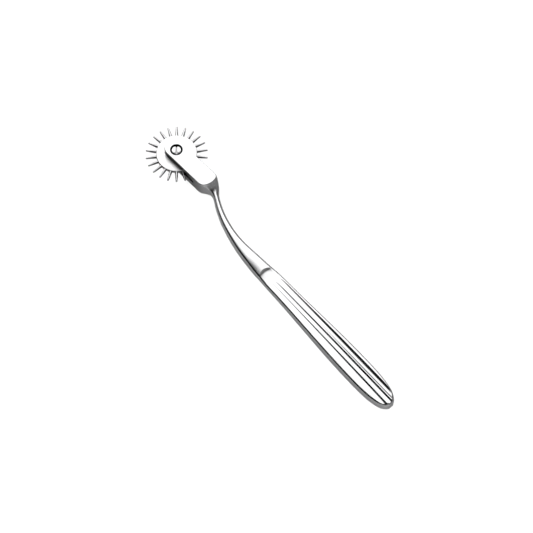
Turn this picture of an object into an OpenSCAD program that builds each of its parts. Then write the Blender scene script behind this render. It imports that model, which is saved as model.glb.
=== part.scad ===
// Hand pinwheel: a disc with pins set round its rim, which spins on a slotted screw in the
// fork of a forged handle. The handle has a bent neck and a grip with flutes on both faces.
//
// Millimetres. +X runs from the wheel to the tail along the grip's own axis, +Y to the side
// that the wheel is offset to, and +Z along the wheel's axle. The origin is the centre of the
// whole object's bounding box, at its bottom.

/* [Grip] */
// Length over all, from the foremost pin tip to the tail
overall_l = 176.4; // [174:0.2:180]
// Grip width at its widest
grip_w = 12.4; // [11.6:0.1:13]
// Grip thickness at its thickest
grip_t = 5.7; // [5.4:0.1:6.4]
// Grip width just behind the shoulder
grip_front_w = 9.2; // [8.6:0.1:9.8]
// Grip thickness just behind the shoulder
grip_front_t = 4.1; // [3.8:0.1:4.6]

/* [Flutes] */
// Number of flutes on each face of the grip
flute_n = 3; // [1:1:3]
// Depth of a flute where the grip is widest
flute_depth = 0.5; // [0.3:0.05:0.6]
// Radius of a flute's round bottom
flute_r = 1.4; // [1.2:0.05:1.6]

/* [Neck] */
// Distance of the wheel's axle from the grip's axis
wheel_offset = 8.5; // [8:0.1:9]
// Neck width at its thinnest
neck_w = 3.2; // [2.8:0.1:3.6]
// Neck thickness where it leaves the fork
neck_t = 4.8; // [4.2:0.1:5.4]
// Neck thickness where it ends at the shoulder
shoulder_t = 6.1; // [5.7:0.1:6.6]

/* [Fork] */
// Width of the fork's cheeks
fork_w = 9.1; // [8.6:0.1:9.6]
// Thickness over both cheeks
fork_t = 8.8; // [8.4:0.1:9.4]
// Width of the slot that the wheel turns in
slot_w = 2.6; // [2.5:0.05:2.8]
// Angle between the fork and the grip's axis
fork_turn = 3; // [2:0.5:4]

/* [Wheel] */
// Diameter over the pin tips
wheel_d = 29.5; // [28.6:0.1:29.8]
// Diameter of the disc that holds the pins
disc_d = 19.2; // [18.6:0.1:19.6]
// Thickness of the disc at its rim
disc_t = 1.9; // [1.8:0.05:2]
// Diameter of a pin at the rim
pin_d = 1.5; // [1.3:0.05:1.6]
// Diameter of a pin's blunt tip
pin_tip_d = 0.8; // [0.4:0.05:1]
// Angle of the first pin from the grip's axis
pin_start = 9.3; // [0:0.1:16]

/* [Axle screw] */
// Diameter of the plain shank that the wheel turns on
shank_d = 3; // [2.8:0.1:3.2]
// Diameter of the threaded end
thread_d = 2.5; // [2.2:0.1:2.6]
// Diameter of the domed head
head_d = 5.2; // [5:0.1:5.4]
// Diameter of the recess that the head lies in
recess_d = 5.8; // [5.6:0.1:6]
// Depth of the recess
recess_depth = 1.75; // [1.6:0.05:1.85]
// Width of the screwdriver slot
driver_w = 0.8; // [0.6:0.05:1]
// Angle of the screwdriver slot from the grip's axis
driver_angle = 140; // [0:1:180]

/* [Hidden] */
$fn = 96;
satin_steel = [0.77, 0.77, 0.78];
polished_steel = [0.86, 0.86, 0.88];
turned_steel = [0.7, 0.7, 0.72];

running_gap = 0.05; // radial clearance of the wheel on its shank, and of the shank in its hole
hub_gap = 0.08; // clearance between the wheel's hub and each cheek
over = 1; // how far a cutter reaches past what it cuts
mid_z = fork_t / 2;

// The wheel
pin_n = 22;
pin_set = 3; // length of a pin inside the rim
hub_d = 6.4;
rim_bevel = 0.15;
tip_r = wheel_d / 2;
disc_r = disc_d / 2;
pin_angles = [for (i = [0 : pin_n - 1]) pin_start + i * 360 / pin_n];

// The screw
head_rim = 0.45; // height of the head's straight edge
dome_h = recess_depth - head_rim;
driver_depth = 0.85;
dome_r = (head_d ^ 2 / 4 + dome_h ^ 2) / (2 * dome_h);

// Places along the grip's axis, measured from the wheel's axle
front_x = min([for (a = pin_angles) tip_r * cos(a)]);
tail_x = overall_l + front_x;
neck_x = 30; // the neck is thinnest here
straight_x = 64; // the neck runs into the grip's axis here
shoulder_x = 73.5; // the raised neck ends here
grip_x = 80; // the grip has its full front width from here
wide_x = grip_x + 0.7 * (tail_x - grip_x); // the grip is widest here
thick_x = grip_x + 0.6 * (tail_x - grip_x); // the grip is thickest from here
flute_x = grip_x + 1; // the flutes come up to the surface here
neck_y = 0.92 * wheel_offset; // the neck's offset where it is thinnest
neck_bend = 2.5; // how sharply the neck turns into the grip's axis
neck_swing = 0.3; // how far the neck swings past the grip's axis before the shoulder
swing_x = [44, 62, 70]; // the swing starts, is full, and starts to fade
shoulder_r = 5; // radius of the arc that ends the raised neck
tail_round = 3; // how late the tail starts to narrow
tail_blunt = 0.4; // how blunt the tail's end is
flute_spread = 0.245; // distance between flutes, as a share of the grip's width

// The fork, in its own frame, which turns by fork_turn about the axle
cheek_x = -1.7; // centre of the rounded free end
slot_end_x = 16.8; // the slot's inner end
slot_saw_r = 22; // radius of the saw that cut the slot
root_r = 6.7; // radius of the arc that ends the cheeks' flat faces
root_x = 17.2;
root_y = 0.9;

// The whole object's box, which places the origin
reach_y = [for (a = pin_angles) tip_r * sin(a)];
low_y = min(wheel_offset + min(reach_y), -grip_w / 2);
high_y = wheel_offset + max(reach_y);
centre = [(front_x + tail_x) / 2, (low_y + high_y) / 2, 0];

// How far the neck's width has grown from its thinnest to the grip's front
NECK_GROWTH = [
    [neck_x, 0], [42, 0.08], [51, 0.2], [58, 0.4], [65, 0.61], [72, 0.8], [76, 0.88], [grip_x, 1]
];

// The root's edges between the cheeks and the neck, as [x, distance from the axle in y]
ROOT_LEFT = [[24, -2.1], [26.5, -1.3], [28, -1.45]];
ROOT_RIGHT = [[25.7, 4.3], [28.3, 2.6]];
// The root's half thickness, as a share of its fall from the cheeks to the neck
ROOT_FALL = [[20, 0], [22.5, 0.06], [25, 0.36], [27.5, 0.74], [neck_x, 1], [neck_x + 1, 1]];

function pin_name(i) = str("pin_", i < 10 ? "0" : "", i);
function between(a, b, t) = a + (b - a) * t;
function clamped(t) = max(0, min(1, t));
function share(a, b, x) = clamped((x - a) / (b - a));
function eased(t) = t * t * (3 - 2 * t);

// A smooth curve through [x, value] points. Each point's slope comes from its neighbours.
function slope_at(points, i) =
    let (a = max(i - 1, 0), b = min(i + 1, len(points) - 1))
    (points[b][1] - points[a][1]) / (points[b][0] - points[a][0]);
function span_at(points, x, i = 0) =
    i >= len(points) - 2 || x < points[i + 1][0] ? i : span_at(points, x, i + 1);
function curve(points, x) =
    let (
        i = span_at(points, x),
        span = points[i + 1][0] - points[i][0],
        t = share(points[i][0], points[i + 1][0], x)
    )
    between(points[i][1], points[i + 1][1], eased(t))
    + t * (1 - t) ^ 2 * span * slope_at(points, i)
    - t ^ 2 * (1 - t) * span * slope_at(points, i + 1);

// Centre line and half width of the neck and grip
function centre_y(x) =
    neck_y * max(0, (straight_x - x) / (straight_x - neck_x)) ^ neck_bend
    - neck_swing * eased(share(swing_x[0], swing_x[1], x)) * (1 - eased(share(swing_x[2], grip_x, x)));
function tail_share(x) = (1 - share(wide_x, tail_x, x) ^ tail_round) ^ tail_blunt;
function half_w(x) =
    x < grip_x ? between(neck_w, grip_front_w, curve(NECK_GROWTH, x)) / 2
    : between(grip_front_w, grip_w, eased(share(grip_x, wide_x, x))) / 2 * tail_share(x);

// Half thickness of the raised neck, the grip and the root
function neck_half_t(x) = between(neck_t, shoulder_t, eased(share(neck_x, shoulder_x, x))) / 2;
function grip_half_t(x) = between(grip_front_t, grip_t, eased(share(shoulder_x, thick_x, x))) / 2;
function root_half_t(x) = between(fork_t, neck_t, curve(ROOT_FALL, x)) / 2;

// A cheek's straight edge in y, at the side -1 or 1
function cheek_edge(x, side) =
    wheel_offset + x * tan(fork_turn) + side * fork_w / 2 / cos(fork_turn);

// Stations along the neck and grip, from inside the root, crowded together at the round tail
STATIONS = concat(
    [neck_x - over],
    [for (i = [0 : 24]) between(neck_x, grip_x, i / 24)],
    [for (i = [1 : 16]) between(grip_x, wide_x, i / 16)],
    [for (i = [1 : 16]) between(wide_x, tail_x, sin(90 * i / 16))]
);

module in_fork() {
    translate([0, wheel_offset, 0])
        rotate(fork_turn)
            children();
}

// The neck and grip seen from above
module grip_plan() {
    left = [for (x = STATIONS) [x, centre_y(x) + half_w(x)]];
    right = [for (i = [len(STATIONS) - 2 : -1 : 0]) let (x = STATIONS[i]) [x, centre_y(x) - half_w(x)]];
    polygon(concat(left, right));
}

// The cheeks seen from above: a rounded free end, two straight sides, and the arc at the root
module cheek_plan() {
    in_fork() {
        translate([cheek_x, 0])
            circle(d = fork_w);
        translate([cheek_x, -fork_w / 2])
            square([root_x - cheek_x, fork_w]);
        intersection() {
            translate([0, -fork_w / 2])
                square([root_x + root_r, fork_w]);
            translate([root_x, root_y])
                circle(r = root_r);
        }
    }
}

// The root seen from above, from inside the cheeks to the thin neck
module root_plan() {
    places = [for (i = [0 : 26]) between(root_x, neck_x, i / 26)];
    low = concat(
        [for (x = [root_x, 21]) [x, cheek_edge(x, -1)]],
        [for (p = ROOT_LEFT) p + [0, wheel_offset]],
        [[neck_x, centre_y(neck_x) - neck_w / 2]]
    );
    high = concat(
        [for (x = [root_x, 22.5]) [x, cheek_edge(x, 1)]],
        [for (p = ROOT_RIGHT) p + [0, wheel_offset]],
        [[neck_x, centre_y(neck_x) + neck_w / 2]]
    );
    polygon(concat(
        [for (x = places) [x, curve(high, x)]],
        [for (i = [len(places) - 1 : -1 : 0]) [places[i], curve(low, places[i])]]
    ));
}

// A slab about the middle plane whose half thickness changes along X
module slab(places, halves) {
    upper = [for (i = [0 : len(places) - 1]) [places[i], halves[i]]];
    lower = [for (i = [len(places) - 1 : -1 : 0]) [places[i], -halves[i]]];
    translate([0, wheel_d, mid_z])
        rotate([90, 0, 0])
            linear_extrude(2 * wheel_d)
                polygon(concat(upper, lower));
}

module grip() {
    places = concat(
        [shoulder_x - shoulder_r],
        [for (i = [0 : 30]) between(shoulder_x, tail_x + over, i / 30)]
    );
    intersection() {
        linear_extrude(fork_t)
            grip_plan();
        slab(places, [for (x = places) grip_half_t(x)]);
    }
}

module neck() {
    places = [for (i = [0 : 20]) between(neck_x - 2 * over, grip_x, i / 20)];
    difference() {
        intersection() {
            linear_extrude(fork_t)
                grip_plan();
            slab(places, [for (x = places) neck_half_t(x)]);
        }
        translate([shoulder_x + shoulder_r, 0, -over])
            cylinder(r = shoulder_r, h = fork_t + 2 * over);
    }
}

module root() {
    places = [for (i = [0 : 15]) between(root_x - over, neck_x + over, i / 15)];
    intersection() {
        linear_extrude(fork_t)
            root_plan();
        slab(places, [for (x = places) root_half_t(x)]);
    }
}

// One flute: a round-bottomed groove that starts at the surface, deepens and fans out to the tail
module flute(k) {
    run = tail_x - flute_x;
    spread = k * flute_spread * (grip_w - grip_front_w);
    climb = grip_half_t(wide_x) - flute_depth - grip_half_t(flute_x);
    translate([flute_x, k * flute_spread * grip_front_w, mid_z + grip_half_t(flute_x) + flute_r])
        rotate([0, 90 - atan(climb / (wide_x - flute_x)), atan(spread / run)])
            cylinder(r = flute_r, h = run + 2 * over);
}

module flutes() {
    for (k = [0 : flute_n - 1])
        flute(k - (flute_n - 1) / 2);
}

// The slot between the cheeks, and the screw's recess, clearance hole and threaded hole
module fork_cuts() {
    in_fork()
        translate([0, 0, mid_z - slot_w / 2])
            linear_extrude(slot_w)
                translate([slot_end_x - slot_saw_r, 0])
                    circle(r = slot_saw_r);
    translate([0, wheel_offset, 0]) {
        translate([0, 0, fork_t - recess_depth])
            cylinder(d = recess_d, h = recess_depth + over);
        translate([0, 0, mid_z])
            cylinder(d = shank_d + 2 * running_gap, h = mid_z);
        translate([0, 0, -over])
            cylinder(d = thread_d, h = mid_z + over);
    }
}

module handle() {
    color(satin_steel)
        difference() {
            union() {
                linear_extrude(fork_t)
                    cheek_plan();
                root();
                neck();
                grip();
            }
            fork_cuts();
            flutes();
            translate([0, 0, fork_t])
                mirror([0, 0, 1])
                    flutes();
        }
}

// The screw: a domed slotted head, a plain shank through the wheel, and the threaded end
module axle_screw() {
    cheek_t = (fork_t - slot_w) / 2;
    color(polished_steel)
        translate([0, wheel_offset, 0])
            difference() {
                union() {
                    cylinder(d = thread_d, h = mid_z);
                    translate([0, 0, cheek_t])
                        cylinder(d = shank_d, h = fork_t - recess_depth - cheek_t);
                    translate([0, 0, fork_t - recess_depth])
                        cylinder(d = head_d, h = head_rim);
                    intersection() {
                        translate([0, 0, fork_t - recess_depth])
                            cylinder(d = head_d, h = recess_depth);
                        translate([0, 0, fork_t - dome_r])
                            sphere(r = dome_r);
                    }
                }
                rotate(driver_angle)
                    translate([-head_d, -driver_w / 2, fork_t - driver_depth])
                        cube([2 * head_d, driver_w, driver_depth + over]);
            }
}

// The disc: a bevelled rim, a raised hub on each face, a running bore, and a hole for each pin
module wheel_disc() {
    half = disc_t / 2;
    hub_half = slot_w / 2 - hub_gap;
    bore_r = shank_d / 2 + running_gap;
    color(turned_steel)
        translate([0, wheel_offset, mid_z])
            difference() {
                rotate_extrude()
                    polygon([
                        [bore_r, -hub_half], [hub_d / 2, -hub_half], [hub_d / 2, -half],
                        [disc_r - rim_bevel, -half], [disc_r, rim_bevel - half],
                        [disc_r, half - rim_bevel], [disc_r - rim_bevel, half],
                        [hub_d / 2, half], [hub_d / 2, hub_half], [bore_r, hub_half]
                    ]);
                for (a = pin_angles)
                    rotate([0, 90, a])
                        translate([0, 0, disc_r - pin_set])
                            cylinder(d = pin_d, h = pin_set + over);
            }
}

// One pin: a straight shank set in the rim, and a long taper to a blunt tip
module pin(i) {
    color(polished_steel)
        translate([0, wheel_offset, mid_z])
            rotate([0, 90, pin_angles[i - 1]]) {
                translate([0, 0, disc_r - pin_set])
                    cylinder(d = pin_d, h = pin_set);
                translate([0, 0, disc_r])
                    cylinder(d1 = pin_d, d2 = pin_tip_d, h = tip_r - disc_r);
            }
}

translate(-centre) handle();
translate(-centre) axle_screw();
translate(-centre) wheel_disc();
for (i = [1 : pin_n])
    translate(-centre) pin(i);
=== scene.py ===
"""Looks of the hand pinwheel: a smooth forged handle, a domed slotted screw, a turned disc and
its pins, in satin and polished stainless steel.

Shapes are worked out in millimetres in the tool's own frame: x from the wheel's axle along the
grip, y from the grip's axis and z from the middle of the handle's thickness. placed() turns them
into the row frame's metres.
"""

import math

import bmesh
import bpy
import numpy as np
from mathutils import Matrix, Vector


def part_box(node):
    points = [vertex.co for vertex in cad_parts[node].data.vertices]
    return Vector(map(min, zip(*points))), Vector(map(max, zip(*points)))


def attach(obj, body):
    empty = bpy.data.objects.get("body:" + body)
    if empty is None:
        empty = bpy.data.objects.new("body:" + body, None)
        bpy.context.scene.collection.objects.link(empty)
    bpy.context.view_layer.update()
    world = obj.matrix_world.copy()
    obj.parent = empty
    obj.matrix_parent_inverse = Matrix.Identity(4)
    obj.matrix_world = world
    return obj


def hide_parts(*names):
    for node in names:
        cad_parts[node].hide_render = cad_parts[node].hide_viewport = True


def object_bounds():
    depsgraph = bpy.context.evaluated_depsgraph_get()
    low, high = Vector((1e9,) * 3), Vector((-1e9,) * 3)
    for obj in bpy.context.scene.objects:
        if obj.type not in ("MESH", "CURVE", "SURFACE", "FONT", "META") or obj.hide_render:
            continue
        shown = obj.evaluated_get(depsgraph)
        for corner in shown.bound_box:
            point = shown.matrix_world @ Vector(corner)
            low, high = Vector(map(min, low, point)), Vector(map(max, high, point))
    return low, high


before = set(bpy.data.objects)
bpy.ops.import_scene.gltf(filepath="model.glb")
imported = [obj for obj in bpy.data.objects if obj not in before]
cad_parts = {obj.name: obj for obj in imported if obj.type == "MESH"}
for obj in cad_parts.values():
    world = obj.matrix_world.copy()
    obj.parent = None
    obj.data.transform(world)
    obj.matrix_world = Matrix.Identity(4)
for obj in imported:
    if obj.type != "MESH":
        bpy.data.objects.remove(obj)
cad_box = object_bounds()

MM = 0.001

# ---------------------------------------------------------------- sizes that repeat the CAD part
GRIP_W = 12.4
GRIP_FRONT_W = 9.2
GRIP_T = 5.7
GRIP_FRONT_T = 4.1
FLUTE_DEPTH = 0.5
WHEEL_OFFSET = 8.5
NECK_W = 3.2
NECK_T = 4.8
SHOULDER_T = 6.1
FORK_W = 9.1
SLOT_W = 2.6
FORK_TURN = math.radians(3)
SHANK_D = 3.0
THREAD_D = 2.5
HEAD_D = 5.2
RECESS_D = 5.8
RECESS_DEPTH = 1.75
DRIVER_DEPTH = 0.85
DRIVER_ANGLE = math.radians(140)
DISC_T = 1.9
HUB_D = 6.4
WHEEL_D = 29.5
PIN_D = 1.5
PIN_TIP_D = 0.8
PIN_START = math.radians(9.3)
RUNNING_GAP = 0.05
HUB_GAP = 0.08

# Places along the grip
NECK_X = 30.0
STRAIGHT_X = 64.0
SHOULDER_X = 73.5
SHOULDER_Y = -0.3
SHOULDER_R = 5.0
GRIP_X = 80.0
FLUTE_X = GRIP_X + 1
CHEEK_X = -1.7
SLOT_END_X = 16.8
SLOT_SAW_R = 22.0
ROOT_X = 17.2
ROOT_Y = 0.9
ROOT_R = 6.7
NECK_Y = 0.92 * WHEEL_OFFSET
NECK_BEND = 2.5
NECK_SWING = 0.3
SWING_X = (44, 62, 70)

# ---------------------------------------------------------------- places read from the frame
handle_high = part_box("handle")[1]
screw_low, screw_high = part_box("axle_screw")
disc_low, disc_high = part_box("wheel_disc")
all_low, all_high = cad_box
axle = (screw_low + screw_high) / 2
FORK_T = handle_high.z / MM
HALF_T = FORK_T / 2
DISC_R = (disc_high.x - disc_low.x) / 2 / MM
TIP_R = WHEEL_D / 2
TAIL_X = (handle_high.x - axle.x) / MM
# The grip is widest at one place and thickest from another
WIDE_X = GRIP_X + 0.7 * (TAIL_X - GRIP_X)
THICK_X = GRIP_X + 0.6 * (TAIL_X - GRIP_X)

pin_nodes = sorted(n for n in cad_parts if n.startswith("pin_"))


def placed(points):
    """Points in the tool's millimetres, in the row frame's metres."""
    origin = np.array([axle.x, axle.y - WHEEL_OFFSET * MM, HALF_T * MM])
    return np.asarray(points, float) * MM + origin


# ---------------------------------------------------------------- curves
def share(a, b, x):
    """How far x has come from a to b, between 0 and 1."""
    return min(1.0, max(0.0, (x - a) / (b - a)))


def eased(t):
    """A share from 0 to 1 that starts and ends softly."""
    return t * t * (3 - 2 * t)


def between(a, b, t):
    """The value or point at the share t of the way from a to b."""
    return a + (b - a) * t


def curve(points, x):
    """A smooth curve through (x, value) points, each with the slope of its neighbours."""
    last = len(points) - 1
    i = min(max(sum(1 for p in points if p[0] <= x) - 1, 0), last - 1)

    def slope(j):
        a, b = points[max(j - 1, 0)], points[min(j + 1, last)]
        return (b[1] - a[1]) / (b[0] - a[0])

    span = points[i + 1][0] - points[i][0]
    t = share(points[i][0], points[i + 1][0], x)
    return (between(points[i][1], points[i + 1][1], eased(t))
            + t * (1 - t) ** 2 * span * slope(i) - t ** 2 * (1 - t) * span * slope(i + 1))


def softened(f, x, reach):
    """The mean of f round x, which turns a kink into a bend."""
    return sum(f(x + d * reach) for d in (-1, -0.5, 0, 0.5, 1)) / 5


def spun(x, y, angle):
    """The point x, y turned by an angle about the origin."""
    c, s = math.cos(angle), math.sin(angle)
    return c * x - s * y, s * x + c * y


# ---------------------------------------------------------------- the handle's outline from above
# How far the neck's width has grown from its thinnest to the grip's front
NECK_GROWTH = [(NECK_X, 0), (42, 0.08), (51, 0.2), (58, 0.4), (65, 0.61), (72, 0.8), (76, 0.88),
               (GRIP_X, 1)]
# The root's edges between the cheeks and the neck, with y from the axle, and where they leave the cheeks
ROOT_LOW = [(24, -2.1), (26.5, -1.3), (28, -1.45)]
ROOT_HIGH = [(25.7, 4.3), (28.3, 2.6)]
CHEEK_LOW_X = 21
CHEEK_HIGH_X = 22.5
# How late the tail starts to narrow, how blunt its end is, and how far the outline's kinks are softened
TAIL_LATE = 3
TAIL_BLUNT = 0.4
OUTLINE_SOFT = 0.9


def centre_y(x):
    """The handle's centre line: from the fork it bends across and swings a little past the axis."""
    bend = NECK_Y * max(0, (STRAIGHT_X - x) / (STRAIGHT_X - NECK_X)) ** NECK_BEND
    start, full, fade = SWING_X
    swing = eased(share(start, full, x)) * (1 - eased(share(fade, GRIP_X, x)))
    return bend - NECK_SWING * swing


def half_w(x):
    """Half the width of the neck or the grip."""
    if x < GRIP_X:
        return between(NECK_W, GRIP_FRONT_W, curve(NECK_GROWTH, x)) / 2
    wide = between(GRIP_FRONT_W, GRIP_W, eased(share(GRIP_X, WIDE_X, x))) / 2
    return wide * (1 - share(WIDE_X, TAIL_X, x) ** TAIL_LATE) ** TAIL_BLUNT


def cheek_edge(x, side):
    """The y of the cheeks' straight edge, on the side -1 or 1."""
    return WHEEL_OFFSET + x * math.tan(FORK_TURN) + side * FORK_W / 2 / math.cos(FORK_TURN)


CHEEK_END = (CHEEK_X * math.cos(FORK_TURN), WHEEL_OFFSET + CHEEK_X * math.sin(FORK_TURN))


def hard_edge(x, side):
    """The outline's y at x, on the side -1 or 1."""
    if x < CHEEK_END[0] - side * FORK_W / 2 * math.sin(FORK_TURN):
        return CHEEK_END[1] + side * math.sqrt(max(0, FORK_W ** 2 / 4 - (x - CHEEK_END[0]) ** 2))
    if x <= ROOT_X:
        return cheek_edge(x, side)
    if x < NECK_X:
        table, last = (ROOT_LOW, CHEEK_LOW_X) if side < 0 else (ROOT_HIGH, CHEEK_HIGH_X)
        points = [(e, cheek_edge(e, side)) for e in (ROOT_X, last)]
        points += [(px, py + WHEEL_OFFSET) for px, py in table]
        points += [(NECK_X, centre_y(NECK_X) + side * NECK_W / 2)]
        return curve(points, x)
    return centre_y(x) + side * half_w(x)


def edge(x, side):
    """The outline's y at x with its kinks softened between the cheeks and the grip's widest place."""
    if ROOT_X + 1 < x < WIDE_X:
        return softened(lambda v: hard_edge(v, side), x, OUTLINE_SOFT)
    return hard_edge(x, side)


# ---------------------------------------------------------------- the handle's flutes
# Their growth from the grip's front to its tail, and the stretch over which they come up
FLUTE_GROWTH = [(FLUTE_X - 1, 0), (FLUTE_X + 3, 0.4), (92, 0.5), (105, 0.65), (120, 0.9), (140, 1.05),
                (170, 1.0)]
FLUTE_START = (FLUTE_X - 1, FLUTE_X + 2)
# Each flute: its line's y at the front, how far y has moved at the tail, its radius and its share of
# the depth
FLUTES = [(-1.85, -0.50, 1.5, 0.85), (-0.17, 0.55, 1.5, 0.9), (2.45, 0.80, 1.9, 1.2)]
# Reach of each flute's gentle flank, roundness of the lands between the flutes, and what that
# roundness adds to the fall where there are no flutes
FLUTE_EASE = 2.1
LAND_R = 0.14
LAND_TRIM = 0.02
# The lands lie a little below the face: their share of the depth, the width of the step down to them
# and how far it starts past the last flute
FLUTE_BED = 0.15
BED_STEP = 0.5
BED_PAST = 0.2


def flute_sink(v, radius, deep):
    """One flute's depth at v from its line: a round wall towards +y and a gentle flank towards -y."""
    if v > 0:
        return deep - radius + math.sqrt(radius ** 2 - min(v, radius) ** 2)
    bell = max(0.0, 1 - (v / FLUTE_EASE) ** 2) ** 2
    return (deep + LAND_R) * bell - LAND_R


def flute_fall(x, y):
    """How far the flutes lower the face at x, y, with softly rounded lands."""
    if x < FLUTE_START[0]:
        return 0.0
    along = (x - FLUTE_X) / (TAIL_X - FLUTE_X)
    growth = FLUTE_DEPTH * curve(FLUTE_GROWTH, x)
    fall = 0.0
    for front, spread, radius, depth in FLUTES:
        sink = flute_sink(y - front - spread * along, radius, depth * growth)
        fall = 0.5 * (fall + sink + math.sqrt((fall - sink) ** 2 + LAND_R ** 2))
    first, last = (front + spread * along for front, spread, _, _ in (FLUTES[0], FLUTES[-1]))
    bed = FLUTE_BED * growth * eased(share(first, first + BED_STEP, y))
    bed *= eased(share(last + BED_PAST, last + BED_PAST - BED_STEP, y))
    return max(bed, fall - LAND_TRIM, 0.0) * eased(share(*FLUTE_START, x))


# ---------------------------------------------------------------- the handle's faces
# How far the faces curve down at their edges, along the neck and on the grip
NECK_CROWN = [(-7, 0), (22, 0), (27, 0.1), (NECK_X, 0.25), (42, 0.35), (58, 0.6), (66, 0.62), (74, 0.6),
              (80, 0.6)]
GRIP_CROWN = 0.12
# The grip's face dips a little behind the shoulder: it goes down, stays down and comes up again
THROAT = 0.2
THROAT_X = (74.5, 79.5, 80.5, 87)
# The neck's raised face comes down a little before it ends at the shoulder
BROW = 0.5
BROW_X = (64, 76)
# How far the root and the raised neck take to fall, and how steeply they start
ROOT_FADE = 7.2
SHOULDER_FADE = 2.8
FADE_STEEP = 3.4


def neck_half(x):
    """Half the neck's thickness: it grows from the thinnest place to the shoulder."""
    return between(NECK_T, SHOULDER_T, eased(share(NECK_X, SHOULDER_X, x))) / 2


def grip_half(x):
    """Half the grip's thickness: it grows from the shoulder back."""
    return between(GRIP_FRONT_T, GRIP_T, eased(share(SHOULDER_X, THICK_X, x))) / 2


def kept_after(past, reach):
    """How much of a raised face is left at a distance past its end."""
    return (1 - share(0, reach, past)) ** FADE_STEEP


def root_kept(x, y):
    """How much of the cheeks' thickness is left at x, y: they end in an arc."""
    along, across = spun(x, y - WHEEL_OFFSET, -FORK_TURN)
    if along <= ROOT_X:
        return 1.0
    return kept_after(math.hypot(along - ROOT_X, across - ROOT_Y) - ROOT_R, ROOT_FADE)


def shoulder_kept(x, y):
    """How much of the raised neck is left at x, y: it ends in an arc at the shoulder."""
    arc_x = SHOULDER_X + SHOULDER_R
    if x > arc_x:
        return 0.0
    return kept_after(SHOULDER_R - math.hypot(x - arc_x, y - SHOULDER_Y), SHOULDER_FADE)


def face_half(x, y, out):
    """Half thickness of the handle at x, y, before its edges are rounded.

    out goes from 0 on the handle's centre line to 1 at its edges, where its faces curve down.
    """
    neck_fall = max(0.0, curve(NECK_CROWN, x)) * out ** 2
    if x < NECK_X:
        return between(NECK_T / 2, HALF_T, root_kept(x, y)) - neck_fall
    down, up = eased(share(*THROAT_X[:2], x)), eased(share(*THROAT_X[2:], x))
    grip_fall = GRIP_CROWN * out ** 2 + THROAT * down * (1 - up)
    neck_fall += BROW * eased(share(*BROW_X, x))
    return between(grip_half(x) - grip_fall, neck_half(x) - neck_fall, shoulder_kept(x, y))


# ---------------------------------------------------------------- the handle's skin
COLUMNS = 94
ROUND_ROWS = 9
WALL_ROWS = 5
ROUND_ANGLES = [math.pi / 2 * (1 - j / ROUND_ROWS) for j in range(ROUND_ROWS)]
# Rungs of the skin: crowded over a stretch at each round end, and closer where the shape turns
FRONT_REACH = 5
FRONT_STEPS = 20
TAIL_REACH = 12
TAIL_STEPS = 24
COARSE_STEP = 0.6
FINE_STEP = 0.22
FINE_STRETCHES = ((17, 32), (71, 81))
# Radii of the handle's rounded edges along x, on the low and the high side
FRONT_ROUND = [(-7, 0.4), (10, 0.4), (20, 0.45)]
TAIL_ROUND = [(150, 1.0), (158, 0.95), (170, 0.95)]
LOW_ROUND = [*FRONT_ROUND, (25, 0.8), (NECK_X, 1.1), (50, 1.1), (73, 1.0), (100, 0.95), (130, 1.0),
             *TAIL_ROUND]
HIGH_ROUND = [*FRONT_ROUND, (25, 0.9), (NECK_X, 1.4), (76, 1.5), (84, 1.2), (100, 1.1), (130, 1.2),
              *TAIL_ROUND]


def crowded(reach, steps):
    """Distances from a round end up to reach, crowded together near the end."""
    return [reach * (1 - math.cos(math.radians(90 * i / steps))) for i in range(steps + 1)]


def stations():
    """Places of the handle's rungs along x."""
    front = CHEEK_END[0] - FORK_W / 2
    first = [front + d for d in crowded(FRONT_REACH, FRONT_STEPS)]
    last = [TAIL_X - d for d in reversed(crowded(TAIL_REACH, TAIL_STEPS))]
    steps = []
    x = first[-1]
    while x < last[0] - COARSE_STEP / 2:
        fine = any(start < x < end for start, end in FINE_STRETCHES)
        x += FINE_STEP if fine else COARSE_STEP
        steps.append(x)
    return first + steps[:-1] + last


def outline(places):
    """The outline's points on the low and the high side, with their inward normals."""
    low = [(x, edge(x, -1)) for x in places]
    high = [(x, edge(x, 1)) for x in places]
    loop = np.array(low + high[-2:0:-1], float)
    along = np.roll(loop, -1, 0) - np.roll(loop, 1, 0)
    along /= np.linalg.norm(along, axis=1)[:, None]
    inward = np.stack([-along[:, 1], along[:, 0]], 1)
    n = len(places)
    low_in = inward[:n]
    high_in = np.concatenate([inward[:1], inward[:n - 1:-1], inward[n - 1:n]])
    return np.array(low), np.array(high), low_in, high_in


def rung(x, low, high, low_in, high_in):
    """Points from the middle of the low wall over the upper face to the middle of the high wall."""
    middle = (low[1] + high[1]) / 2
    room = max(1.0, (high[1] - low[1]) / 2)
    low_r, high_r = curve(LOW_ROUND, x), curve(HIGH_ROUND, x)

    def top(p, drop):
        out = min(1.0, abs(p[1] - middle) / room)
        return p[0], p[1], face_half(p[0], p[1], out) - flute_fall(p[0], p[1]) - drop

    def side(foot, inward, r):
        rounded = [top(foot + inward * r * (1 - math.sin(a)), r * (1 - math.cos(a)))
                   for a in ROUND_ANGLES]
        wall_top = rounded[0][2]
        return [(foot[0], foot[1], wall_top * j / WALL_ROWS) for j in range(WALL_ROWS)] + rounded

    ends = low + low_in * low_r, high + high_in * high_r
    face = [top(between(*ends, j / COLUMNS), 0) for j in range(COLUMNS + 1)]
    return side(low, low_in, low_r) + face + side(high, high_in, high_r)[::-1]


def handle_mesh():
    """The handle's skin: its upper half in rungs, and the same mirrored below."""
    places = stations()
    half = np.array([rung(*spot) for spot in zip(places, *outline(places))])
    lower = half[:, -2:0:-1] * [1, 1, -1]
    return ladder(np.concatenate([half, lower], 1))


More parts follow.
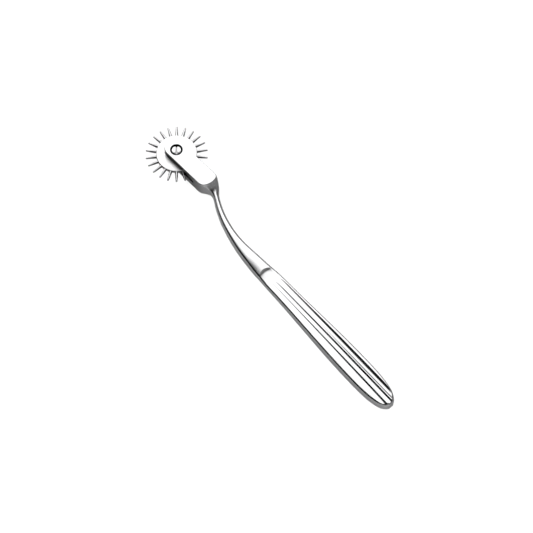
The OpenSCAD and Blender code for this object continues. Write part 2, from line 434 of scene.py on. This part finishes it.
def ladder(rings, capped=False):
    """Points and faces of a skin over rings of points, closed by a cap at its last ring if asked."""
    count, around = rings.shape[:2]
    faces = [(i * around + j, i * around + (j + 1) % around,
              (i + 1) * around + (j + 1) % around, (i + 1) * around + j)
             for i in range(count - 1) for j in range(around)]
    if capped:
        faces.append(tuple(range((count - 1) * around, count * around)))
    return rings.reshape(-1, 3), faces


# ---------------------------------------------------------------- mesh helpers
SHARP_ANGLE = 40
MERGE_GAP = 0.002 * MM
SHORT_EDGE = 0.0005 * MM


def new_piece(name, points, faces, sharp_angle=SHARP_ANGLE):
    """A closed mesh from points in the tool's millimetres, smooth but for its sharp edges."""
    mesh = bpy.data.meshes.new(name)
    mesh.from_pydata([tuple(p) for p in placed(points)], [], faces)
    obj = bpy.data.objects.new(name, mesh)
    bpy.context.scene.collection.objects.link(obj)
    finish_mesh(obj, sharp_angle)
    return obj


def finish_mesh(obj, sharp_angle=SHARP_ANGLE):
    """Joins doubled points, turns the faces outwards and smooths all but the sharp edges."""
    bm = bmesh.new()
    bm.from_mesh(obj.data)
    bmesh.ops.remove_doubles(bm, verts=bm.verts, dist=MERGE_GAP)
    bmesh.ops.dissolve_degenerate(bm, edges=bm.edges, dist=SHORT_EDGE)
    bmesh.ops.recalc_face_normals(bm, faces=bm.faces)
    for face in bm.faces:
        face.smooth = True
    limit = math.radians(sharp_angle)
    for e in bm.edges:
        e.smooth = len(e.link_faces) == 2 and e.calc_face_angle(0) < limit
    bm.to_mesh(obj.data)
    bm.free()


def turned(profile, steps, turn=None):
    """Points and faces of a profile of (radius, height) turned about z, each point then moved by turn."""
    turn = turn or (lambda p: p)
    points = [turn((r * math.cos(a), r * math.sin(a), h))
              for a in (2 * math.pi * k / steps for k in range(steps)) for r, h in profile]
    n = len(profile)
    faces = []
    for k in range(steps):
        for j in range(n - 1):
            a, b = k * n + j, (k + 1) % steps * n + j
            faces.append((a, b, b + 1, a + 1))
    return points, faces


def arc(cx, cy, r, start, end, steps):
    """Points on an arc, with angles in degrees."""
    angles = [math.radians(between(start, end, i / steps)) for i in range(steps + 1)]
    return [(cx + r * math.cos(a), cy + r * math.sin(a)) for a in angles]


def cut(obj, *cutters):
    """Cuts the other pieces out of obj and removes them."""
    for cutter in cutters:
        modifier = obj.modifiers.new("cut", "BOOLEAN")
        modifier.object = cutter
        modifier.operation = "DIFFERENCE"
        modifier.solver = "MANIFOLD"
    before = len(obj.data.polygons)
    depsgraph = bpy.context.evaluated_depsgraph_get()
    result = bpy.data.meshes.new_from_object(obj.evaluated_get(depsgraph))
    if len(result.polygons) == before:
        raise RuntimeError(f"{obj.name} was not cut")
    obj.modifiers.clear()
    obj.data = result
    for cutter in cutters:
        bpy.data.objects.remove(cutter)
    finish_mesh(obj)


def at_axle(points):
    """Points about the axle, in the tool's frame."""
    return [(x, y + WHEEL_OFFSET, z) for x, y, z in points]


# ---------------------------------------------------------------- the handle
# How far a cutter reaches past what it cuts, and the facets of the round saw and the drilled holes
PAST = 1
SAW_STEPS = 360
HOLE_STEPS = 128
# The rounded lips of the slot: their radius, their end, the stretch over which they fade out, the rows
# of their rounding, and how far their cutter reaches past the wall and into the slot's own cut
LIP_R = 0.6
LIP_END_X = 16.4
LIP_FADE = 2
LIP_ROWS = 6
LIP_PAST = 0.1
LIP_SINK = 0.01
# The broken edges of the recess and of the threaded hole
HOLE_EDGE = 0.2


def slot_cutter():
    """The round saw's cut between the cheeks."""
    half = SLOT_W / 2
    points, faces = turned([(0, -half), (SLOT_SAW_R, -half), (SLOT_SAW_R, half), (0, half)], SAW_STEPS)
    shift = SLOT_END_X - SLOT_SAW_R
    moved = [(*spun(x + shift, y, FORK_TURN), z) for x, y, z in points]
    return new_piece("slot_cutter", at_axle(moved), faces)


def lips_cutter():
    """Rounds the slot's edges all round the cheeks, fading out towards the slot's end."""
    places = [x for x in stations() if x < LIP_END_X]
    low, high, low_in, high_in = (part[:len(places)] for part in outline(stations()))
    quarter = [math.pi / 2 / LIP_ROWS * j for j in range(LIP_ROWS + 1)]
    upper = []
    for i, x in enumerate(places):
        r = LIP_R * (1 - eased(share(LIP_END_X - LIP_FADE, LIP_END_X, x)))
        rise = [(-LIP_PAST, r + LIP_PAST)]
        rise += [(r * (1 - math.cos(a)), r * (1 - math.sin(a))) for a in quarter]
        side = [(low[i] + low_in[i] * d, h) for d, h in rise]
        side += [(high[i] + high_in[i] * d, h) for d, h in reversed(rise)]
        upper.append([(p[0], p[1], SLOT_W / 2 - LIP_SINK + h) for p, h in side])
    upper = np.array(upper)
    rings = np.concatenate([upper, upper[:, ::-1] * [1, 1, -1]], 1)
    return new_piece("lips_cutter", *ladder(rings, capped=True))


def hole_cutter():
    """The recess for the screw's head with a broken edge, and the holes for its shank and thread."""
    floor = HALF_T - RECESS_DEPTH
    shank = SHANK_D / 2 + RUNNING_GAP
    thread = THREAD_D / 2
    mouth = RECESS_D / 2 + HOLE_EDGE
    profile = [(0, -HALF_T - PAST), (thread + 2 * HOLE_EDGE, -HALF_T - PAST),
               (thread + 2 * HOLE_EDGE, -HALF_T - HOLE_EDGE), (thread, -HALF_T + HOLE_EDGE),
               (thread, 0), (shank, 0), (shank, floor), (RECESS_D / 2, floor)]
    profile += [(mouth - r, h) for r, h in arc(0, HALF_T - HOLE_EDGE, HOLE_EDGE, 0, 90, steps=5)]
    profile += [(mouth, HALF_T + PAST), (0, HALF_T + PAST)]
    points, faces = turned(profile, HOLE_STEPS)
    return new_piece("hole_cutter", at_axle(points), faces)


def handle():
    """The forged handle with its slot, its recess and its screw holes."""
    obj = new_piece("forged_handle", *handle_mesh())
    cut(obj, slot_cutter(), lips_cutter(), hole_cutter())
    return obj


# ---------------------------------------------------------------- the screw
SCREW_STEPS = 96
# The head: radius of its rim and of its crown, degrees left out where they meet, depth of the crown
# below the handle's face, and bevel of the underside
RIM_R = 0.75
CROWN_R = 9
CROWN_JOIN = 1
CROWN_DROP = 0.25
HEAD_BEVEL = 0.1
# The threaded end: its play in the hole, its bevel and its depth below the handle's lower face
THREAD_PLAY = 0.02
THREAD_BEVEL = 0.25
THREAD_DROP = 0.05
# The driver's slot stops just short of the head's rim and has a shallow V-shaped floor
DRIVER_W = 1
DRIVER_L = 4.3
DRIVER_V = 0.14


def axle_screw():
    """A domed head with a rounded rim and a driver slot, a plain shank and a threaded end."""
    floor = HALF_T - RECESS_DEPTH
    end = THREAD_DROP - HALF_T
    head, shank, thread = HEAD_D / 2, SHANK_D / 2, THREAD_D / 2
    crown_z = HALF_T - CROWN_DROP - CROWN_R
    lean = math.degrees(math.asin((head - RIM_R) / (CROWN_R - RIM_R)))
    rim_z = crown_z + (CROWN_R - RIM_R) * math.cos(math.radians(lean))
    profile = [(0, end), (thread - THREAD_BEVEL, end), (thread - THREAD_PLAY, end + THREAD_BEVEL),
               (thread - THREAD_PLAY, -SLOT_W / 2), (shank, -SLOT_W / 2), (shank, floor),
               (head - HEAD_BEVEL, floor), (head, floor + HEAD_BEVEL)]
    profile += arc(head - RIM_R, rim_z, RIM_R, 0, 90 - lean, steps=12)
    profile += arc(0, crown_z, CROWN_R, 90 - lean + CROWN_JOIN, 90, steps=8)
    points, faces = turned(profile, SCREW_STEPS)
    obj = new_piece("screw", at_axle(points), faces)
    cut(obj, driver_cutter())
    return obj


def driver_cutter():
    """A bar with a V-shaped underside, for the driver's slot."""
    half = DRIVER_W / 2
    bottom, top = HALF_T - DRIVER_DEPTH, HALF_T + PAST
    section = [(-half, bottom), (0, bottom - DRIVER_V), (half, bottom), (half, top), (-half, top)]
    points = [(*spun(x, y, DRIVER_ANGLE), z) for x in (-DRIVER_L / 2, DRIVER_L / 2) for y, z in section]
    n = len(section)
    faces = [(j, (j + 1) % n, n + (j + 1) % n, n + j) for j in range(n)]
    faces += [tuple(range(n)), tuple(range(2 * n - 1, n - 1, -1))]
    return new_piece("driver_cutter", at_axle(points), faces)


# ---------------------------------------------------------------- the wheel
# The disc: its facets, the rounding of its rim and the bevels of its bore and hub
DISC_STEPS = 176
RIM_EDGE = 0.3
BORE_BEVEL = 0.08
HUB_BEVEL = 0.1
# A pin: its facets, how far it is set in the rim, how far it stays straight outside the rim, places
# along its taper, the angle where the taper runs into the round tip, and its sharpest smooth edge
PIN_STEPS = 28
PIN_SET = 0.6
PIN_STRAIGHT = 0.1
PIN_TAPER = (0.02, 0.25, 0.5, 0.75, 0.97)
PIN_TIP_ANGLE = 12
PIN_SHARP_ANGLE = 50


def wheel_disc():
    """The disc: a rounded rim, flat turned faces, and a raised hub with a running bore."""
    half = DISC_T / 2
    hub_top, hub_r = SLOT_W / 2 - HUB_GAP, HUB_D / 2
    bore = SHANK_D / 2 + RUNNING_GAP
    flat_r = DISC_R - RIM_EDGE
    upper = [(bore, hub_top - BORE_BEVEL), (bore + BORE_BEVEL, hub_top),
             (hub_r - HUB_BEVEL, hub_top), (hub_r, hub_top - HUB_BEVEL), (hub_r + HUB_BEVEL, half),
             (flat_r - 2 * RIM_EDGE, half), (flat_r - RIM_EDGE, half)]
    upper += arc(flat_r, half - RIM_EDGE, RIM_EDGE, 90, 0, steps=6)
    lower = [(r, -h) for r, h in reversed(upper)]
    points, faces = turned(upper + lower + upper[:1], DISC_STEPS)
    return new_piece("turned_disc", at_axle(points), faces)


def pin(name, angle):
    """One pin: a straight shank set in the rim, a long taper and a rounded tip."""
    half, tip = PIN_D / 2, PIN_TIP_D / 2
    root, start, end = DISC_R - PIN_SET, DISC_R + PIN_STRAIGHT, TIP_R - tip
    profile = [(0, root), (half, root), (half, start)]
    profile += [(between(half, tip, t), between(start, end, t)) for t in PIN_TAPER]
    profile += arc(0, end, tip, PIN_TIP_ANGLE, 90, steps=5)
    points, faces = turned(profile, PIN_STEPS, lambda p: (*spun(p[2], p[0], angle), p[1]))
    return new_piece(name, at_axle(points), faces, PIN_SHARP_ANGLE)


# ---------------------------------------------------------------- materials
TONE = (0.26, 0.26, 0.263)
DISC_TONE = (0.42, 0.42, 0.422)
# The mirror tint of steel seen edge on, and the reach and samples of the painted shade in its hollows
EDGE_TONE = 0.35
PAINTED_HOLLOW_REACH = 2 * MM
PAINTED_HOLLOW_SAMPLES = 8
# Clouds in the polish: the scale of their noise, the noise's useful span, the colour's steps with their
# shares of the tone, and the lowest and highest share of the roughness
CLOUDS = (160, 260, 260)
CLOUD_SPAN = (0.35, 0.65)
CLOUD_TONES = ((0.3, 0.97), (0.7, 1))
CLOUD_ROUGH = (0.85, 1.1)
# What the fine grain and the hairline scratches add to the roughness, and the grain's height
GRAIN_ROUGH = 0.18
HAIR_ROUGH = 0.08
HAIR_SPAN = (0.68, 0.72)
GRAIN_HEIGHT = 0.02 * MM
# The stretch along x over which the painted shade on the fork's upright faces turns into the painted
# light on the grip's
PAINTED_SIDE_X = [axle.x + (ROOT_X + d) * MM for d in (-4, 12)]


def noise(tree, place, scale, detail):
    """Soft noise between 0 and 1 that is stretched by its scale along each axis."""
    stretch = tree.nodes.new("ShaderNodeMapping")
    stretch.inputs["Scale"].default_value = scale
    tree.links.new(place.outputs["Object"], stretch.inputs["Vector"])
    texture = tree.nodes.new("ShaderNodeTexNoise")
    texture.inputs["Scale"].default_value = 1.0
    texture.inputs["Detail"].default_value = detail
    tree.links.new(stretch.outputs["Vector"], texture.inputs["Vector"])
    return texture.outputs["Fac"]


def ramp(tree, source, levels, span):
    """A value that goes from the first level to the second while the source runs over the span."""
    node = tree.nodes.new("ShaderNodeMapRange")
    node.inputs["From Min"].default_value, node.inputs["From Max"].default_value = span
    node.inputs["To Min"].default_value, node.inputs["To Max"].default_value = levels
    tree.links.new(source, node.inputs["Value"])
    return node.outputs["Result"]


def worked_out(tree, operation, *sources):
    """The result of a math operation on one value or two."""
    node = tree.nodes.new("ShaderNodeMath")
    node.operation = operation
    for source, socket in zip(sources, node.inputs):
        tree.links.new(source, socket)
    return node.outputs["Value"]


def cloudy(tree, clouds, tone):
    """The steel's tone with faint darker clouds."""
    colour = tree.nodes.new("ShaderNodeValToRGB")
    for element, (position, level) in zip(colour.color_ramp.elements, CLOUD_TONES):
        element.position = position
        element.color = [v * level for v in tone] + [1]
    tree.links.new(clouds, colour.inputs["Fac"])
    return colour.outputs["Color"]


def painted_side_light_and_shade(tree, place, painted_side_shares, painted_side_span):
    """Painted light and shade: 1 on flat faces and, on upright ones, a share of the tone that changes
    from the fork to the grip.
    """
    facing = tree.nodes.new("ShaderNodeSeparateXYZ")
    tree.links.new(place.outputs["Normal"], facing.inputs["Vector"])
    spot = tree.nodes.new("ShaderNodeSeparateXYZ")
    tree.links.new(place.outputs["Object"], spot.inputs["Vector"])
    # Painted light and shade: the upright faces' share of the tone changes along x from the fork to the
    # grip.
    side = ramp(tree, spot.outputs["X"], painted_side_shares, PAINTED_SIDE_X)
    painted_light_and_shade = ramp(tree, worked_out(tree, "ABSOLUTE", facing.outputs["Z"]), (0, 1), painted_side_span)
    tree.links.new(side, painted_light_and_shade.node.inputs["To Min"])
    return painted_light_and_shade


def painted_hollow_shade(tree, share_left, span):
    """1 in the open and a smaller share in narrow hollows: painted shade where the surface is closed in.
    """
    # Painted shade: the tone is darkened where ambient occlusion finds the surface closed in.
    painted_hollow = tree.nodes.new("ShaderNodeAmbientOcclusion")
    painted_hollow.samples = PAINTED_HOLLOW_SAMPLES
    painted_hollow.inputs["Distance"].default_value = PAINTED_HOLLOW_REACH
    return ramp(tree, painted_hollow.outputs["AO"], (share_left, 1), span)


def grained(tree, fine, strength):
    """The surface's normal with the fine grain's bumps."""
    bump = tree.nodes.new("ShaderNodeBump")
    bump.inputs["Strength"].default_value = strength
    bump.inputs["Distance"].default_value = GRAIN_HEIGHT
    tree.links.new(fine, bump.inputs["Height"])
    return bump.outputs["Normal"]


def steel(name, tone, painted_side_shares, painted_side_span, painted_hollow, painted_hollow_span, rough, grain, grain_bump,
          scratches):
    """Stainless steel with a fine grain, faint clouds in its polish and a few hairline scratches.

    Painted light and shade: upright faces have their tone scaled by one share at the fork and another
    along the grip, and narrow hollows are darkened as painted shade.
    """
    material = bpy.data.materials.new(name)
    material.use_nodes = True
    tree = material.node_tree
    shader = tree.nodes["Principled BSDF"]
    shader.inputs["Metallic"].default_value = 1.0
    shader.inputs["Specular Tint"].default_value = (EDGE_TONE, EDGE_TONE, EDGE_TONE, 1)
    place = tree.nodes.new("ShaderNodeTexCoord")
    clouds = noise(tree, place, CLOUDS, detail=3)
    fine = noise(tree, place, grain, detail=2)
    hairs = noise(tree, place, scratches, detail=1)

    # Painted light and shade: the tone is scaled on upright faces and darkened in narrow hollows.
    upright = painted_side_light_and_shade(tree, place, painted_side_shares, painted_side_span)
    painted_light_and_shade = worked_out(tree, "MULTIPLY", upright, painted_hollow_shade(tree, painted_hollow, painted_hollow_span))
    shaded = tree.nodes.new("ShaderNodeVectorMath")
    shaded.operation = "SCALE"
    tree.links.new(cloudy(tree, clouds, tone), shaded.inputs[0])
    tree.links.new(painted_light_and_shade, shaded.inputs["Scale"])
    tree.links.new(shaded.outputs["Vector"], shader.inputs["Base Color"])

    cloud_rough = ramp(tree, clouds, [rough * level for level in CLOUD_ROUGH], CLOUD_SPAN)
    fine_rough = ramp(tree, fine, (0, rough * GRAIN_ROUGH), CLOUD_SPAN)
    hair_rough = ramp(tree, hairs, (0, HAIR_ROUGH), HAIR_SPAN)
    even = worked_out(tree, "ADD", cloud_rough, fine_rough)
    tree.links.new(worked_out(tree, "ADD", even, hair_rough), shader.inputs["Roughness"])
    tree.links.new(grained(tree, fine, grain_bump), shader.inputs["Normal"])
    return material


# Painted shade on the fork's upright faces, painted light on the grip's, and painted shade in narrow
# hollows.
satin = steel("satin_steel", TONE, painted_side_shares=(0.5, 1.25), painted_side_span=(0.2, 0.75),
              painted_hollow=0.08, painted_hollow_span=(0.25, 0.7), rough=0.20,
              grain=(300, 5000, 5000), grain_bump=0.12, scratches=(60, 2600, 2600))
# Painted shade: the screw's and the pins' upright faces at a tenth of the tone, and darker narrow
# hollows.
polished = steel("polished_steel", TONE, painted_side_shares=(0.1, 0.1), painted_side_span=(0.65, 0.96),
                 painted_hollow=0.2, painted_hollow_span=(0.45, 0.85), rough=0.13,
                 grain=(2500, 2500, 2500), grain_bump=0.05, scratches=(900, 900, 900))
# Painted shade on the disc's upright faces; its hollows keep their full tone.
turned_finish = steel("turned_steel", DISC_TONE, painted_side_shares=(0.17, 0.17), painted_side_span=(0.2, 0.75),
                      painted_hollow=1.0, painted_hollow_span=(0.25, 0.7), rough=0.42,
                      grain=(3000, 3000, 3000), grain_bump=0.1, scratches=(1500, 1500, 1500))


def dress(obj, material, slot, body, *nodes):
    """Gives a piece its material, hides the CAD nodes that it stands for and hangs it on the body it
    rides.
    """
    obj.data.materials.clear()
    obj.data.materials.append(material)
    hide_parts(*nodes)
    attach(obj, body)


dress(handle(), satin, "satin_steel", "frame", "handle")
dress(axle_screw(), polished, "polished_steel", "frame", "axle_screw")
dress(wheel_disc(), turned_finish, "turned_steel", "wheel", "wheel_disc")
for i, node in enumerate(pin_nodes):
    angle = PIN_START + i * 2 * math.pi / len(pin_nodes)
    dress(pin(f"{node}_steel", angle), polished, "polished_steel", "wheel", node)


# ---------------------------------------------------------------- floor, light and camera
FLOOR_R = 12
FLOOR_STEPS = 64
FLOOR_Z = -0.05 * MM
FLOOR_TONES = (0.88, 0.9)
# Each glow in the room: its direction, the angles where it is full and where it ends, and its light
GLOWS = [((-0.62, 0.42, 0.66), 26, 43, 4.9),
         ((0.80, 0.35, 0.50), 30, 56, 0.6),
         ((-0.95, -0.10, 0.30), 16, 34, 0.8),
         ((0.75, -0.62, 0.22), 18, 42, 1.2)]
ROOM_LIGHT = 0.04
SHADED_LIGHT = 0.9
FILL_LIGHT = 3.0
CAMERA_AZIMUTH = math.radians(49.6)
CAMERA_ELEVATION = math.radians(64)
CAMERA_DISTANCE = 1.2
VIEW_WIDTH = 0.246
LOOK_FROM_CENTRE = Vector((-0.00141, -0.0058, -0.0004))
SENSOR_W = 36
CLIP = (0.05, 30)


def make_floor():
    """A large round floor of plain matt white card."""
    mesh = bpy.data.meshes.new("floor")
    bm = bmesh.new()
    bmesh.ops.create_circle(bm, cap_ends=True, segments=FLOOR_STEPS, radius=FLOOR_R)
    bm.to_mesh(mesh)
    bm.free()
    obj = bpy.data.objects.new("floor", mesh)
    obj.location.z = FLOOR_Z
    bpy.context.scene.collection.objects.link(obj)
    material = bpy.data.materials.new("white_card")
    material.use_nodes = True
    nodes, links = material.node_tree.nodes, material.node_tree.links
    shader = nodes["Principled BSDF"]
    shader.inputs["Roughness"].default_value = 0.9
    shader.inputs["Specular IOR Level"].default_value = 0.1
    texture = nodes.new("ShaderNodeTexNoise")
    texture.inputs["Scale"].default_value = 300
    colour = nodes.new("ShaderNodeValToRGB")
    for element, tone in zip(colour.color_ramp.elements, FLOOR_TONES):
        element.color = (tone, tone, tone, 1)
    links.new(texture.outputs["Fac"], colour.inputs["Fac"])
    links.new(colour.outputs["Color"], shader.inputs["Base Color"])
    mesh.materials.append(material)


def make_world():
    """A dim room with one large bright soft box and three paler glows."""
    world = bpy.data.worlds.new("studio")
    bpy.context.scene.world = world
    world.use_nodes = True
    nodes, links = world.node_tree.nodes, world.node_tree.links
    light = nodes["Background"]
    light.inputs["Color"].default_value = (1, 1, 1, 1)
    place = nodes.new("ShaderNodeTexCoord")
    total = None
    for direction, full, end, strength in GLOWS:
        lean = nodes.new("ShaderNodeVectorMath")
        lean.operation = "DOT_PRODUCT"
        lean.inputs[1].default_value = Vector(direction).normalized()
        links.new(place.outputs["Generated"], lean.inputs[0])
        level = nodes.new("ShaderNodeMapRange")
        level.interpolation_type = "SMOOTHSTEP"
        level.inputs["From Min"].default_value = math.cos(math.radians(end))
        level.inputs["From Max"].default_value = math.cos(math.radians(full))
        level.inputs["To Max"].default_value = strength
        links.new(lean.outputs["Value"], level.inputs["Value"])
        both = nodes.new("ShaderNodeMath")
        both.operation = "ADD"
        links.new(level.outputs["Result"], both.inputs[0])
        if total:
            links.new(total, both.inputs[1])
        else:
            both.inputs[1].default_value = ROOM_LIGHT
        total = both.outputs["Value"]
    links.new(total, light.inputs["Strength"])
    world.cycles_visibility.diffuse = False


def make_sky_lamp(name, light, shadow):
    """Even light from the whole sky that lights the floor and isn't mirrored in the steel."""
    data = bpy.data.lights.new(name, "SUN")
    data.energy = light
    data.angle = math.pi
    data.use_shadow = shadow
    data.cycles.use_multiple_importance_sampling = shadow
    obj = bpy.data.objects.new(name, data)
    obj.visible_glossy = False
    bpy.context.scene.collection.objects.link(obj)


def make_camera():
    """A camera high above the tool, past its tail and to its -Y side, that looks down at its middle."""
    data = bpy.data.cameras.new("camera")
    data.sensor_width = SENSOR_W
    data.lens = data.sensor_width * CAMERA_DISTANCE / VIEW_WIDTH
    data.clip_start, data.clip_end = CLIP
    obj = bpy.data.objects.new("camera", data)
    ahead = Vector((-math.sin(CAMERA_AZIMUTH), math.cos(CAMERA_AZIMUTH), 0))
    forward = ahead * math.cos(CAMERA_ELEVATION) - Vector((0, 0, math.sin(CAMERA_ELEVATION)))
    look_at = (all_low + all_high) / 2 + LOOK_FROM_CENTRE
    obj.location = look_at - forward * CAMERA_DISTANCE
    obj.rotation_euler = forward.to_track_quat("-Z", "Y").to_euler()
    bpy.context.scene.collection.objects.link(obj)
    bpy.context.scene.camera = obj


make_floor()
make_world()
make_sky_lamp("shaded", SHADED_LIGHT, True)
make_sky_lamp("fill", FILL_LIGHT, False)
make_camera()
bpy.context.scene.view_settings.view_transform = "Standard"
